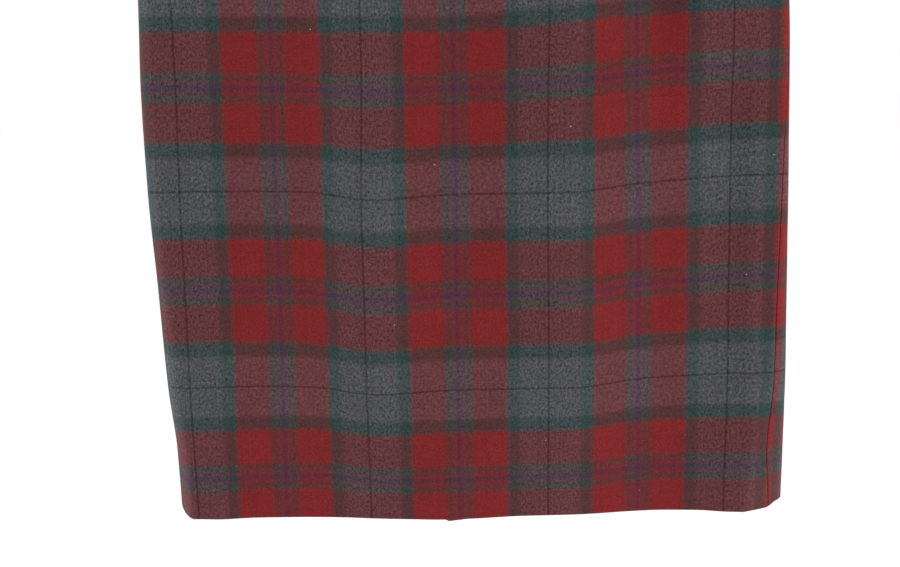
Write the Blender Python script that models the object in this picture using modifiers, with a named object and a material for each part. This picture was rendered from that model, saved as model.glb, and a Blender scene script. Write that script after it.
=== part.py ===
"""A straight plaid skirt that hangs as a soft flattened tube.

The front is one panel and the back is two, joined by a centre back seam that opens as a zip at
the waist and as a lapped vent at the hem. Millimetres are used in the tables, metres elsewhere.
X runs to the right of someone who faces the front, -Y is the front, and Z is up. The origin is
the middle of the waist's upper edge. Left and right in names are the wearer's.
"""

import math

import bmesh
import bpy
import numpy as np

MM = 0.001
GAP = 0.3 * MM

CLOTH = 1.5 * MM
LENGTH = 640 * MM
HEM_TURN_UP = 40 * MM
FRONT_PLANE = 15 * MM

BAND_HEIGHT = 32 * MM
BAND_THICKNESS = 3.0 * MM
BAND_PROUD = 0.6 * MM
BAND_LAP = 28 * MM
BAND_EDGE = 0.9 * MM
BAND_EDGE_CUT = 0.27 * MM
BAND_SINK_RUN = 9 * MM
BAND_STATION = 7 * MM

ZIP_BOTTOM = 215 * MM
ZIP_SLIT = 4.6 * MM
ZIP_SLIT_CLOSES = 7 * MM
TAPE_WIDTH = 28 * MM
TAPE_THICKNESS = 0.8 * MM
TAPE_RINGS = 10
CHAIN_WIDTH = 4.0 * MM

VENT_TOP = 470 * MM
VENT_TOP_RUN = 18 * MM
VENT_LAP = 40 * MM
VENT_STEP = 6 * MM

SLIDER_SIZE = (8.0 * MM, 1.3 * MM, 9.5 * MM)
SLIDER_BEVEL = 0.4 * MM
SLIDER_DOWN = 42 * MM
WIRE_RADIUS = 0.5 * MM
BAIL_RADIUS = 1.5 * MM
AXIS_OVER_SLIDER = 1.0 * MM

PULL_LENGTH = 24 * MM
PULL_TOP_WIDTH = 5.4 * MM
PULL_END_RADIUS = 3.3 * MM
PULL_THICKNESS = 0.9 * MM
PULL_BAR = 0.45 * MM
PULL_EYE_WIDTH = 2.8 * MM
PULL_EYE_REACH = 2.8 * MM
PULL_HOLE_RADIUS = 1.3 * MM

BUTTON_RADIUS = 5.75 * MM
BUTTON_THICKNESS = 2.2 * MM
BUTTON_EDGE = 0.5 * MM
BUTTON_DISH = 0.7 * MM
BUTTON_RIM = 1.2 * MM
BUTTON_RIM_SLOPE = 0.6 * MM
BUTTON_STEPS = 28
BUTTON_HOLE_RADIUS = 0.75 * MM
BUTTON_HOLE_SPREAD = 1.35 * MM
BUTTON_FROM_SEAM = 13 * MM

# Red, green and blue from 0 to 255.
PLAID_RED = (118, 44, 46)
PLAID_GREY = (84, 74, 78)
TAPE_RED = (58, 30, 34)
DARK_METAL = (74, 66, 62)
BUTTON_BROWN = (52, 26, 28)

# A row for each level. down is measured from the waist. left and right are where the tube folds.
# Each fold has how far it reaches sideways, how deep its front and back halves are, and how it
# leaves the front: 2 is round and 1 is a crease. middle is the place of the centre front, and
# half_front is the cloth from there to a side seam.
OUTLINE_COLUMNS = (
    "down", "left", "right", "left_reach", "left_depth", "left_back", "left_turn",
    "right_reach", "right_depth", "right_back", "right_turn", "middle", "half_front",
)
OUTLINE = (
    (0, -166.0, 166.0, 15.0, 15.0, 15.0, 2.0, 15.0, 15.0, 15.0, 2.0, 0.0, 176.0),
    (32, -167.0, 167.0, 15.0, 15.0, 15.0, 2.0, 15.0, 15.0, 15.0, 2.0, 0.0, 177.0),
    (80, -190.0, 190.5, 14.0, 14.0, 14.0, 2.0, 14.0, 14.0, 14.0, 2.0, -1.0, 199.0),
    (130, -209.0, 212.0, 13.0, 13.0, 13.0, 2.0, 12.0, 12.0, 13.0, 2.0, -2.5, 219.0),
    (200, -223.0, 230.0, 12.5, 12.5, 12.5, 2.0, 10.0, 10.5, 12.0, 2.0, -4.0, 235.5),
    (265, -226.0, 234.8, 12.5, 12.5, 12.0, 2.0, 9.5, 10.0, 11.5, 2.0, -4.5, 239.6),
    (320, -227.6, 237.0, 12.5, 12.5, 12.0, 2.0, 10.0, 10.5, 11.5, 2.0, -4.5, 239.0),
    (390, -227.3, 237.7, 13.0, 13.5, 11.5, 2.0, 11.0, 11.5, 11.5, 2.0, -4.5, 237.3),
    (465, -224.6, 238.5, 14.0, 15.0, 11.0, 2.0, 13.0, 13.0, 12.0, 1.9, -4.5, 235.0),
    (540, -223.2, 240.0, 14.0, 18.0, 10.0, 1.9, 19.0, 17.0, 12.0, 1.6, -4.5, 233.0),
    (590, -220.6, 240.1, 13.0, 21.5, 10.0, 1.4, 27.0, 22.0, 12.0, 1.2, -4.5, 231.6),
    (640, -220.9, 240.3, 12.0, 24.8, 10.0, 1.0, 33.0, 25.9, 12.0, 1.0, -4.5, 231.4),
)

# A row for each soft fold of the front: its place across, and how far it stands out of the front
# plane on the body of the skirt and at the hem.
FRONT_FOLDS = (
    (-205, 0.0, 0.0),
    (-186, 0.0, 1.6),
    (-160, 0.0, -0.6),
    (-132, 0.0, -0.2),
    (-104, 0.3, 1.6),
    (-89, 1.0, 3.4),
    (-72, 15.0, 6.3),
    (-40, 15.5, 10.2),
    (-17, 15.0, 12.2),
    (7, 14.5, 11.0),
    (40, 14.0, 7.9),
    (78, 14.0, 7.5),
    (94, 13.5, 6.3),
    (117, 1.0, 3.2),
    (140, 0.0, 1.4),
    (170, 0.0, 3.3),
    (194, 0.0, 8.7),
    (207, 0.0, 10.1),
)
BACK_FOLDS = (
    (-200, 0.0, 0.0),
    (-150, 1.0, 7.0),
    (-105, 6.0, 9.0),
    (-60, 1.5, 3.0),
    (-20, 0.0, 0.0),
    (40, 0.0, 0.0),
    (70, 1.0, 3.0),
    (115, 7.0, 11.0),
    (160, 1.5, 8.0),
    (195, 0.0, 1.0),
)
FOLDS_BEGIN = (40, 190)
FOLDS_TURN_TO_HEM = (470, 640)

# Levels of the panels' rings, in millimetres below the waist.
LEVELS = (
    32.3, 50, 70, 92, 116, 142, 170, 200, 215, 222, 250, 285, 325, 370, 415,
    452, 470, 500, 530, 560, 585, 598, 601, 620, 640,
)

# Stretches of cloth across a panel: where each begins and ends, as a share of the panel, and how
# many facets it has. They are short where the cloth turns.
FRONT_RUNS = (
    (0.0, 0.085, 7), (0.085, 0.285, 5), (0.285, 0.372, 6), (0.372, 0.682, 6),
    (0.682, 0.772, 6), (0.772, 0.927, 4), (0.927, 1.0, 6),
)
BACK_RUNS = ((0.0, 0.2, 7), (0.2, 0.92, 10), (0.92, 1.0, 2))

ROUND = 2.0
SECTION_POINTS = 400
FOLD_POINTS = 60
NORMAL_REACH = 2.5 * MM


def smooth(at, stations, values):
    """Reads a table between its rows, on a curve that never passes a row's value."""
    stations = np.asarray(stations, float)
    values = np.asarray(values, float)
    step = np.diff(stations)
    rise = np.diff(values) / step
    slope = np.zeros(len(values))
    along = rise[:-1] * rise[1:] > 0
    slope[1:-1][along] = 2 * (rise[:-1] * rise[1:])[along] / (rise[:-1] + rise[1:])[along]
    row = np.clip(np.searchsorted(stations, at) - 1, 0, len(step) - 1)
    part = np.clip((at - stations[row]) / step[row], 0, 1)
    lower = values[row] * (1 + 2 * part) * (1 - part) ** 2
    upper = values[row + 1] * part**2 * (3 - 2 * part)
    leave = slope[row] * part * (1 - part) ** 2
    arrive = slope[row + 1] * part**2 * (part - 1)
    return lower + upper + (leave + arrive) * step[row]


def ramp(at, start, end):
    """Rises smoothly from 0 at start to 1 at end."""
    part = np.clip((at - start) / (end - start), 0, 1)
    return part * part * (3 - 2 * part)


def outline_at(down):
    stations = [row[0] for row in OUTLINE]
    return {
        name: float(smooth(down, stations, [row[column] for row in OUTLINE]))
        for column, name in enumerate(OUTLINE_COLUMNS)
    }


def folds_at(across, down, folds):
    """How far the cloth stands out at these places across, in millimetres."""
    stations = [row[0] for row in folds]
    body = smooth(across, stations, [row[1] for row in folds])
    hem = smooth(across, stations, [row[2] for row in folds])
    towards_hem = ramp(down, *FOLDS_TURN_TO_HEM)
    return (body * (1 - towards_hem) + hem * towards_hem) * ramp(down, *FOLDS_BEGIN)


def quarter_turn(reach, depth, turn):
    """A fold's quarter, from its outermost point to where it meets the flat cloth."""
    angle = np.linspace(0, math.pi / 2, FOLD_POINTS)
    outward = reach * np.cos(angle) ** (2 / turn)
    inward = depth * (1 - np.sin(angle))
    return outward, inward


class Section:
    """The tube's outline at one level, read by the length of cloth from the centre front."""

    def __init__(self, level):
        down = level / MM
        size = outline_at(down)
        left_flat = size["left"] + size["left_reach"]
        right_flat = size["right"] - size["right_reach"]
        across = np.linspace(left_flat, right_flat, SECTION_POINTS)
        front = -FRONT_PLANE / MM - folds_at(across, down, FRONT_FOLDS)
        back_left = front[0] + size["left_depth"] + size["left_back"]
        back_right = front[-1] + size["right_depth"] + size["right_back"]
        back = back_left + (back_right - back_left) * np.linspace(0, 1, SECTION_POINTS)
        back = back + folds_at(across, down, BACK_FOLDS)
        reach_l, depth_l = quarter_turn(size["left_reach"], size["left_depth"], size["left_turn"])
        reach_r, depth_r = quarter_turn(size["right_reach"], size["right_depth"], size["right_turn"])
        round_l, behind_l = quarter_turn(size["left_reach"], size["left_back"], ROUND)
        round_r, behind_r = quarter_turn(size["right_reach"], size["right_back"], ROUND)
        pieces = (
            (left_flat - reach_l, front[0] + depth_l),
            (across[1:-1], front[1:-1]),
            ((right_flat + reach_r)[::-1], (front[-1] + depth_r)[::-1]),
            (right_flat + round_r, back[-1] - behind_r),
            (across[-2:0:-1], back[-2:0:-1]),
            ((left_flat - round_l)[::-1], (back[0] - behind_l)[::-1]),
        )
        points = np.column_stack([np.concatenate([p[axis] for p in pieces]) for axis in (0, 1)])
        step = np.hypot(*np.diff(points, axis=0).T)
        points = points[np.concatenate([[True], step > 1e-6])]
        run = np.concatenate([[0], np.cumsum(np.hypot(*np.diff(points, axis=0).T))])
        centre_front = len(reach_l) - 1 + (size["middle"] - left_flat) / (across[1] - across[0])
        self.points = points * MM
        self.run = run * MM
        self.round = self.run[-1]
        self.start = float(np.interp(centre_front, np.arange(len(run)), self.run))
        self.half_front = size["half_front"] * MM
        self.centre_back = self.round / 2

    def at(self, cloth):
        """The point this far round from the centre front, first towards +X."""
        place = (self.start + cloth) % self.round
        return np.array([np.interp(place, self.run, self.points[:, axis]) for axis in (0, 1)])

    def outward(self, cloth):
        ahead = self.at(cloth + NORMAL_REACH) - self.at(cloth - NORMAL_REACH)
        ahead /= np.hypot(*ahead)
        return np.array([ahead[1], -ahead[0]])

    def offset(self, cloth, out):
        return self.at(cloth) + self.outward(cloth) * out


def shares(runs):
    found = [0.0]
    for start, end, count in runs:
        found.extend(np.linspace(start, end, count + 1)[1:])
    return found


def finish(obj, colour, roughness, metallic=0.0):
    """Gives a piece a plain material of its own colour."""
    material = bpy.data.materials.new(obj.name + "_finish")
    material.use_nodes = True
    shader = material.node_tree.nodes["Principled BSDF"]
    linear = [((channel / 255 + 0.055) / 1.055) ** 2.4 for channel in colour]
    shader.inputs["Base Color"].default_value = (*linear, 1.0)
    shader.inputs["Roughness"].default_value = roughness
    shader.inputs["Metallic"].default_value = metallic
    obj.data.materials.clear()
    obj.data.materials.append(material)


def add_object(name, data, collection):
    obj = bpy.data.objects.new(name, data)
    collection.objects.link(obj)
    return obj


def wall(name, outer, inner, kept, collection):
    """A closed wall between two grids of points, over the cells of the grid that are kept."""
    mesh = bmesh.new()
    verts = {}

    def vert(side, place):
        if (side, place) not in verts:
            verts[side, place] = mesh.verts.new((outer, inner)[side][place])
        return verts[side, place]

    rim = {}
    for row, column in kept:
        corners = [(row, column), (row, column + 1), (row + 1, column + 1), (row + 1, column)]
        mesh.faces.new([vert(0, place) for place in corners])
        mesh.faces.new([vert(1, place) for place in reversed(corners)])
        for start, end in zip(corners, corners[1:] + corners[:1]):
            if rim.pop((end, start), None) is None:
                rim[start, end] = True
    for start, end in rim:
        mesh.faces.new([vert(0, end), vert(0, start), vert(1, start), vert(1, end)])
    bmesh.ops.recalc_face_normals(mesh, faces=mesh.faces[:])
    data = bpy.data.meshes.new(name)
    mesh.to_mesh(data)
    mesh.free()
    data.shade_smooth()
    data.set_sharp_from_angle(angle=math.radians(50))
    return add_object(name, data, collection)


def loft(name, rings, collection):
    """A closed solid through rings of points, which all have the same number of corners."""
    mesh = bmesh.new()
    loops = [[mesh.verts.new(point) for point in ring] for ring in rings]
    for loop, following in zip(loops, loops[1:]):
        for corner in range(len(loop)):
            after = (corner + 1) % len(loop)
            mesh.faces.new([loop[corner], loop[after], following[after], following[corner]])
    mesh.faces.new(loops[0])
    mesh.faces.new(reversed(loops[-1]))
    bmesh.ops.recalc_face_normals(mesh, faces=mesh.faces[:])
    data = bpy.data.meshes.new(name)
    mesh.to_mesh(data)
    mesh.free()
    return add_object(name, data, collection)


def thickness_at(level):
    """One layer of cloth, and two where the hem is turned up inside."""
    return CLOTH * (2 if level > LENGTH - HEM_TURN_UP else 1)


def half_slit(level):
    """Half the opening at the centre back, wide along the zip and a seam's gap below it."""
    closing = ramp(level, ZIP_BOTTOM, ZIP_BOTTOM + ZIP_SLIT_CLOSES)
    return ZIP_SLIT / 2 * (1 - closing) + GAP / 2 * closing


def panel(name, sections, cloth_at, columns, collection, sink_at=None, is_kept=None):
    """A panel's wall through the rings, with the cloth's place and depth read for each point."""
    outer = {}
    inner = {}
    for row, (level, section) in enumerate(sections):
        for column in range(columns):
            cloth = cloth_at(section, level, column)
            sink = sink_at(level, column) if sink_at else 0.0
            near = section.offset(cloth, -sink)
            far = section.offset(cloth, -sink - thickness_at(level))
            outer[row, column] = (*near, -level)
            inner[row, column] = (*far, -level)
    cells = [(row, column) for row in range(len(sections) - 1) for column in range(columns - 1)]
    kept = [cell for cell in cells if is_kept is None or is_kept(*cell)]
    return wall(name, outer, inner, kept, collection)


def front_panel(sections, collection):
    """The front, in one piece from side seam to side seam."""
    places = shares(FRONT_RUNS)

    def cloth_at(section, level, column):
        half = section.half_front - GAP / 2
        return half * (2 * places[column] - 1)

    return panel("front_panel", sections, cloth_at, len(places), collection)


def back_right_panel(sections, collection):
    """The wearer's right back, which laps over the other at the vent."""
    places = [1 - share for share in reversed(shares(BACK_RUNS))]

    def cloth_at(section, level, column):
        start = section.centre_back + half_slit(level)
        end = section.round - section.half_front - GAP / 2
        return start + (end - start) * places[column]

    return panel("back_panel_right", sections, cloth_at, len(places), collection)


def back_left_panel(sections, collection):
    """The wearer's left back. Below the vent's top it steps in and runs on as the underlap."""
    places = shares(BACK_RUNS)
    fold = len(places)
    lap = [0.25 * VENT_LAP, 0.5 * VENT_LAP, 0.75 * VENT_LAP, VENT_LAP]
    vent_row = [level for level, section in sections].index(VENT_TOP)

    def cloth_at(section, level, column):
        start = section.half_front + GAP / 2
        edge = section.centre_back - half_slit(level)
        if column < fold - 1:
            return start + (edge - VENT_STEP - start) * places[column]
        if column == fold - 1:
            return edge - VENT_STEP
        if column == fold:
            return edge - GAP
        return edge + lap[column - fold - 1]

    def sink_at(level, column):
        depth = thickness_at(level) + GAP
        opening = ramp(level, VENT_TOP - VENT_TOP_RUN, VENT_TOP)
        return depth * opening if column >= fold else 0.0

    def is_kept(row, column):
        return column < fold or row >= vent_row

    columns = fold + 1 + len(lap)
    return panel("back_panel_left", sections, cloth_at, columns, collection, sink_at, is_kept)


def band_profile():
    """The waistband's upright section: how far out of the panels, and how far down."""
    face = BAND_PROUD
    inside = BAND_PROUD - BAND_THICKNESS
    return (
        (face, BAND_HEIGHT),
        (face, BAND_EDGE),
        (face - BAND_EDGE_CUT, BAND_EDGE_CUT),
        (face - BAND_EDGE, 0.0),
        (inside + BAND_EDGE, 0.0),
        (inside + BAND_EDGE_CUT, BAND_EDGE_CUT),
        (inside, BAND_EDGE),
        (inside, BAND_HEIGHT),
    )


def waistband(collection):
    """A folded band. Its wearer's left end runs on under its right end at the centre back."""
    section = Section(BAND_HEIGHT / 2)
    profile = band_profile()
    start = section.centre_back - ZIP_SLIT / 2
    length = section.round + BAND_LAP
    count = round(length / BAND_STATION)
    sink = BAND_THICKNESS + GAP
    rings = []
    for station in range(count + 1):
        along = length * station / count
        inward = sink * ramp(along, section.round - BAND_SINK_RUN, section.round - GAP)
        places = [section.offset(start + along, out - inward) for out, down in profile]
        rings.append([(*place, -down) for place, (out, down) in zip(places, profile)])
    return loft("waistband", rings, collection)


def zip_tape(collection):
    """The zip's tape behind the panels, with the closed chain standing up in the slit."""
    face = -CLOTH - GAP
    half_tape = TAPE_WIDTH / 2
    half_chain = CHAIN_WIDTH / 2
    profile = (
        (-half_tape, face - TAPE_THICKNESS),
        (half_tape, face - TAPE_THICKNESS),
        (half_tape, face),
        (half_chain, face),
        (half_chain, 0.0),
        (-half_chain, 0.0),
        (-half_chain, face),
        (-half_tape, face),
    )
    rings = []
    for level in np.linspace(BAND_HEIGHT + GAP, ZIP_BOTTOM - 5 * GAP, TAPE_RINGS):
        section = Section(level)
        places = [section.offset(section.centre_back + along, out) for along, out in profile]
        rings.append([(*place, -level) for place in places])
    return loft("zip_tape", rings, collection)


def box_mesh(name, size, bevel):
    """A box of this size round its own middle, with its edges rounded over."""
    mesh = bmesh.new()
    bmesh.ops.create_cube(mesh, size=1.0)
    bmesh.ops.scale(mesh, vec=size, verts=mesh.verts[:])
    bmesh.ops.bevel(mesh, geom=mesh.edges[:], offset=bevel, segments=2, profile=0.5, affect="EDGES")
    data = bpy.data.meshes.new(name)
    mesh.to_mesh(data)
    mesh.free()
    return data


def bail_object(axis, foot, cutters):
    """The slider's wire bridge: a half ring over the pull's bar, with both feet in the plate."""
    curve = bpy.data.curves.new("bail", "CURVE")
    curve.dimensions = "3D"
    curve.bevel_depth = WIRE_RADIUS
    curve.bevel_resolution = 2
    curve.use_fill_caps = True
    points = [(0.0, -foot, -BAIL_RADIUS)]
    for angle in np.linspace(0, math.pi, 9):
        points.append((0.0, BAIL_RADIUS * math.sin(angle), -BAIL_RADIUS * math.cos(angle)))
    points.append((0.0, -foot, BAIL_RADIUS))
    spline = curve.splines.new("POLY")
    spline.points.add(len(points) - 1)
    for point, place in zip(spline.points, points):
        point.co = (*place, 1.0)
    wire = add_object("bail_curve", curve, cutters)
    wire.location = axis
    bpy.context.view_layer.update()
    graph = bpy.context.evaluated_depsgraph_get()
    data = bpy.data.meshes.new_from_object(wire.evaluated_get(graph))
    mesh = bmesh.new()
    mesh.from_mesh(data)
    bmesh.ops.remove_doubles(mesh, verts=mesh.verts[:], dist=1e-6)
    bmesh.ops.recalc_face_normals(mesh, faces=mesh.faces[:])
    mesh.to_mesh(data)
    mesh.free()
    bail = add_object("bail", data, cutters)
    bail.matrix_world = wire.matrix_world.copy()
    bpy.data.objects.remove(wire)
    return bail


def zip_slider(place, axis, collection, cutters):
    """The slider's plate, seated on the chain, with the bail on its face."""
    plate = box_mesh("zip_slider", SLIDER_SIZE, SLIDER_BEVEL)
    slider = add_object("zip_slider", plate, collection)
    slider.location = place
    bail = bail_object(axis, AXIS_OVER_SLIDER + SLIDER_SIZE[1] / 2, cutters)
    join = slider.modifiers.new("bail", "BOOLEAN")
    join.operation = "UNION"
    join.solver = "EXACT"
    join.object = bail
    return slider


def zip_pull(axis, collection):
    """The pull tab: a flat tongue whose eye goes round the bail, hanging from its top bar."""
    curve = bpy.data.curves.new("zip_pull", "CURVE")
    curve.dimensions = "2D"
    curve.fill_mode = "BOTH"
    curve.extrude = PULL_THICKNESS / 2
    half = PULL_TOP_WIDTH / 2
    end = PULL_LENGTH - PULL_END_RADIUS
    outline = [(half, PULL_BAR), (-half, PULL_BAR)]
    for angle in np.linspace(math.pi, 2 * math.pi, 11):
        across = PULL_END_RADIUS * math.cos(angle)
        outline.append((across, PULL_END_RADIUS * math.sin(angle) - end))
    eye = PULL_EYE_WIDTH / 2
    window = [(-eye, -PULL_BAR), (eye, -PULL_BAR), (eye, -PULL_EYE_REACH), (-eye, -PULL_EYE_REACH)]
    hole = []
    for angle in np.linspace(0, 2 * math.pi, 12, endpoint=False):
        across = PULL_HOLE_RADIUS * math.cos(angle)
        hole.append((across, PULL_HOLE_RADIUS * math.sin(angle) - end))
    for loop in (outline, window, hole):
        spline = curve.splines.new("POLY")
        spline.points.add(len(loop) - 1)
        for point, (across, up) in zip(spline.points, loop):
            point.co = (across, up, 0.0, 1.0)
        spline.use_cyclic_u = True
    pull = add_object("zip_pull", curve, collection)
    pull.location = axis
    pull.rotation_euler = (math.pi / 2, 0.0, 0.0)
    return pull


def button(place, collection, cutters):
    """A turned button with a raised rim and four sewing holes, its face towards +Y."""
    rim = BUTTON_RADIUS - BUTTON_RIM
    profile = (
        (0.0, BUTTON_THICKNESS - BUTTON_DISH),
        (rim - BUTTON_RIM_SLOPE, BUTTON_THICKNESS - BUTTON_DISH),
        (rim, BUTTON_THICKNESS),
        (BUTTON_RADIUS - BUTTON_EDGE, BUTTON_THICKNESS),
        (BUTTON_RADIUS, BUTTON_THICKNESS - BUTTON_EDGE),
        (BUTTON_RADIUS, BUTTON_EDGE),
        (BUTTON_RADIUS - BUTTON_EDGE, 0.0),
        (0.0, 0.0),
    )
    mesh = bmesh.new()
    verts = [mesh.verts.new((radius, 0.0, height)) for radius, height in profile]
    for start, end in zip(verts, verts[1:]):
        mesh.edges.new((start, end))
    data = bpy.data.meshes.new("waist_button")
    mesh.to_mesh(data)
    mesh.free()
    disc = add_object("waist_button", data, collection)
    disc.location = place
    disc.rotation_euler = (-math.pi / 2, 0.0, 0.0)
    turn = disc.modifiers.new("turn", "SCREW")
    turn.steps = BUTTON_STEPS
    turn.render_steps = BUTTON_STEPS
    turn.use_merge_vertices = True
    turn.merge_threshold = 0.00001
    reach = BUTTON_HOLE_SPREAD
    for across in (-reach, reach):
        for up in (-reach, reach):
            cut = bmesh.new()
            bmesh.ops.create_cone(
                cut, cap_ends=True, segments=12, depth=4 * BUTTON_THICKNESS,
                radius1=BUTTON_HOLE_RADIUS, radius2=BUTTON_HOLE_RADIUS,
            )
            cutter_data = bpy.data.meshes.new("button_hole")
            cut.to_mesh(cutter_data)
            cut.free()
            cutter = add_object("button_hole", cutter_data, cutters)
            cutter.location = (place[0] + across, place[1], place[2] + up)
            cutter.rotation_euler = (math.pi / 2, 0.0, 0.0)
            hole = disc.modifiers.new("hole", "BOOLEAN")
            hole.operation = "DIFFERENCE"
            hole.solver = "EXACT"
            hole.object = cutter
    return disc


def main():
    for obj in list(bpy.data.objects):
        bpy.data.objects.remove(obj)
    scene = bpy.context.scene
    skirt = bpy.data.collections.new("plaid_skirt")
    cutters = bpy.data.collections.new("cutters")
    scene.collection.children.link(skirt)
    scene.collection.children.link(cutters)

    sections = [(down * MM, Section(down * MM)) for down in LEVELS]
    finish(front_panel(sections, skirt), PLAID_RED, 0.9)
    finish(back_left_panel(sections, skirt), PLAID_RED, 0.9)
    finish(back_right_panel(sections, skirt), PLAID_RED, 0.9)
    finish(waistband(skirt), PLAID_GREY, 0.9)
    finish(zip_tape(skirt), TAPE_RED, 0.7)

    at_slider = Section(SLIDER_DOWN)
    seam_x, seam_y = at_slider.at(at_slider.centre_back)
    plate = (seam_x, seam_y + GAP + SLIDER_SIZE[1] / 2, -SLIDER_DOWN)
    axis = (seam_x, seam_y + GAP + SLIDER_SIZE[1] + AXIS_OVER_SLIDER, -SLIDER_DOWN)
    finish(zip_slider(plate, axis, skirt, cutters), DARK_METAL, 0.35, 1.0)
    finish(zip_pull(axis, skirt), DARK_METAL, 0.35, 1.0)

    at_band = Section(BAND_HEIGHT / 2)
    button_x, button_y = at_band.at(at_band.centre_back + BUTTON_FROM_SEAM)
    button_place = (button_x, button_y + BAND_PROUD + GAP, -BAND_HEIGHT / 2)
    finish(button(button_place, skirt, cutters), BUTTON_BROWN, 0.4)

    for cutter in cutters.objects:
        cutter.hide_render = True
        cutter.display_type = "WIRE"


main()
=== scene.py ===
import math

import bmesh
import bpy
import numpy as np
from mathutils import Matrix, Vector


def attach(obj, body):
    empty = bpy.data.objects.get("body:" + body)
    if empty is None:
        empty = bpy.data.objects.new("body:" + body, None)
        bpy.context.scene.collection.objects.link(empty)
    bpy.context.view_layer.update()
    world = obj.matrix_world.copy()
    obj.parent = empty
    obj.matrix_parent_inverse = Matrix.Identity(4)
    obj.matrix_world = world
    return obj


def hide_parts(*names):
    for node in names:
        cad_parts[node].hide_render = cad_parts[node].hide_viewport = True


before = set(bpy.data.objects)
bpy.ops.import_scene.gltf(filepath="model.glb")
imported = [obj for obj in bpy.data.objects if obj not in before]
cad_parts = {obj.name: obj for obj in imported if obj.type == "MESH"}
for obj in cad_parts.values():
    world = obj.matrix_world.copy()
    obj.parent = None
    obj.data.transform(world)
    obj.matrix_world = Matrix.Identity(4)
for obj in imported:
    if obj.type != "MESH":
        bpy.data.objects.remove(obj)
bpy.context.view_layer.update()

MM = 0.001


# The skirt hangs as a soft flattened tube of woollen cloth, 640 mm long. These rings and folds are
# the form that its panels share. Lengths are in millimetres, down is measured from the waist's
# upper edge, and cloth is measured round the tube from the centre front, first towards +X.

CLOTH = 1.5
LENGTH = 640.0
SEAM_GAP = 0.3
FRONT_PLANE = 15.0
NORMAL_REACH = 2.5
# Points in each quarter round and each flat of a ring.
ROUND_POINTS = 60
FLAT_POINTS = 600

RINGS = {
    "down": (0, 32, 80, 130, 200, 265, 320, 390, 465, 540, 590, 640),
    "left": (-166, -167, -190, -209, -223, -226, -227.3, -227, -224, -222, -219, -219),
    "right": (166, 167, 190.5, 211.5, 228, 232.3, 234.6, 236, 237, 238, 238, 238),
    "left_reach": (15, 15, 14, 13, 12.5, 12.5, 12.5, 13, 14, 14, 13, 12),
    "left_depth": (15, 15, 14, 13, 12.5, 12.5, 12.5, 13.5, 15, 18, 21.5, 24.8),
    "left_back": (15, 15, 14, 13, 12.5, 12, 12, 11.5, 11, 10, 10, 10),
    "left_turn": (2, 2, 2, 2, 2, 2, 2, 2, 2, 1.9, 1.4, 1.0),
    "right_reach": (15, 15, 14, 12, 10, 9.5, 10, 11, 13, 19, 27, 33),
    "right_depth": (15, 15, 14, 12, 10.5, 10, 10.5, 11.5, 13, 17, 22, 25.9),
    "right_back": (15, 15, 14, 13, 12, 11.5, 11.5, 11.5, 12, 12, 12, 12),
    "right_turn": (2, 2, 2, 2, 2, 2, 2, 2, 1.9, 1.6, 1.2, 1.0),
    "middle": (0, 0, -1, -2.5, -4, -4.5, -4.5, -4.5, -4.5, -4.5, -4.5, -4.5),
    "left_seam": (176, 177, 199, 219, 235.5, 239.6, 239, 237.3, 235, 233, 231.6, 231.4),
    "right_seam": (176, 177, 199, 219, 235.5, 239.6, 239, 236.5, 234.5, 232.5, 228.5, 233),
}
FRONT_FOLDS = {
    "across": (-205, -186, -160, -132, -104, -89, -72, -40, -17, 7, 40, 62, 78, 94, 117, 140, 170, 194, 210),
    "hip": (1.5, 2, 4, 6.5, 11, 15, 16.5, 11.5, 9.2, 9, 11, 12.3, 12.5, 9.5, 4.5, 0, 5, 6, 6),
    "body": (4.5, 3, 3, 5.5, 10, 14.5, 16.5, 11.5, 9.2, 9, 11, 12.5, 13, 10, 4.5, 0.5, -0.5, -1, 3),
    "hem": (0, 1.6, -0.6, -0.2, 1.6, 3.4, 6.3, 10.2, 12.2, 11, 7.9, 7.7, 7.5, 6.3, 3.2, 1.4, 3.3, 8.7, 10.1),
}
BACK_FOLDS = {
    "across": (-200, -150, -105, -60, -20, 40, 70, 115, 160, 195),
    "hip": (0, 1, 6, 1.5, 0, 0, 1, 7, 1.5, 0),
    "body": (0, 1, 6, 1.5, 0, 0, 1, 7, 1.5, 0),
    "hem": (0, 7, 9, 3, 0, 0, 3, 11, 8, 1),
}


def smooth(at, stations, values):
    """Reads a table between its rows, on a curve that never passes a row's value."""
    stations = np.asarray(stations, float)
    values = np.asarray(values, float)
    step = np.diff(stations)
    rise = np.diff(values) / step
    slope = np.zeros(len(values))
    along = rise[:-1] * rise[1:] > 0
    slope[1:-1][along] = 2 * (rise[:-1] * rise[1:])[along] / (rise[:-1] + rise[1:])[along]
    row = np.clip(np.searchsorted(stations, at) - 1, 0, len(step) - 1)
    part = np.clip((at - stations[row]) / step[row], 0, 1)
    lower = values[row] * (1 + 2 * part) * (1 - part) ** 2
    upper = values[row + 1] * part**2 * (3 - 2 * part)
    leave = slope[row] * part * (1 - part) ** 2
    arrive = slope[row + 1] * part**2 * (part - 1)
    return lower + upper + (leave + arrive) * step[row]


def ramp(at, start, end):
    """Rises smoothly from 0 at start to 1 at end."""
    part = np.clip((at - start) / (end - start), 0, 1)
    return part * part * (3 - 2 * part)


# The levels over which a fold grows below the waist, and passes from hip to body and on to the hem.
FOLD_GROWS = (40, 190)
FOLD_TO_BODY = (270, 350)
FOLD_TO_HEM = (470, LENGTH)


def folds_at(across, down, folds):
    """How far a fold stands out of the flat at each place across."""
    hip, body, hem = (smooth(across, folds["across"], folds[level]) for level in ("hip", "body", "hem"))
    to_body = ramp(down, *FOLD_TO_BODY)
    to_hem = ramp(down, *FOLD_TO_HEM)
    return (hip * (1 - to_body) + body * (to_body - to_hem) + hem * to_hem) * ramp(down, *FOLD_GROWS)


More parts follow.
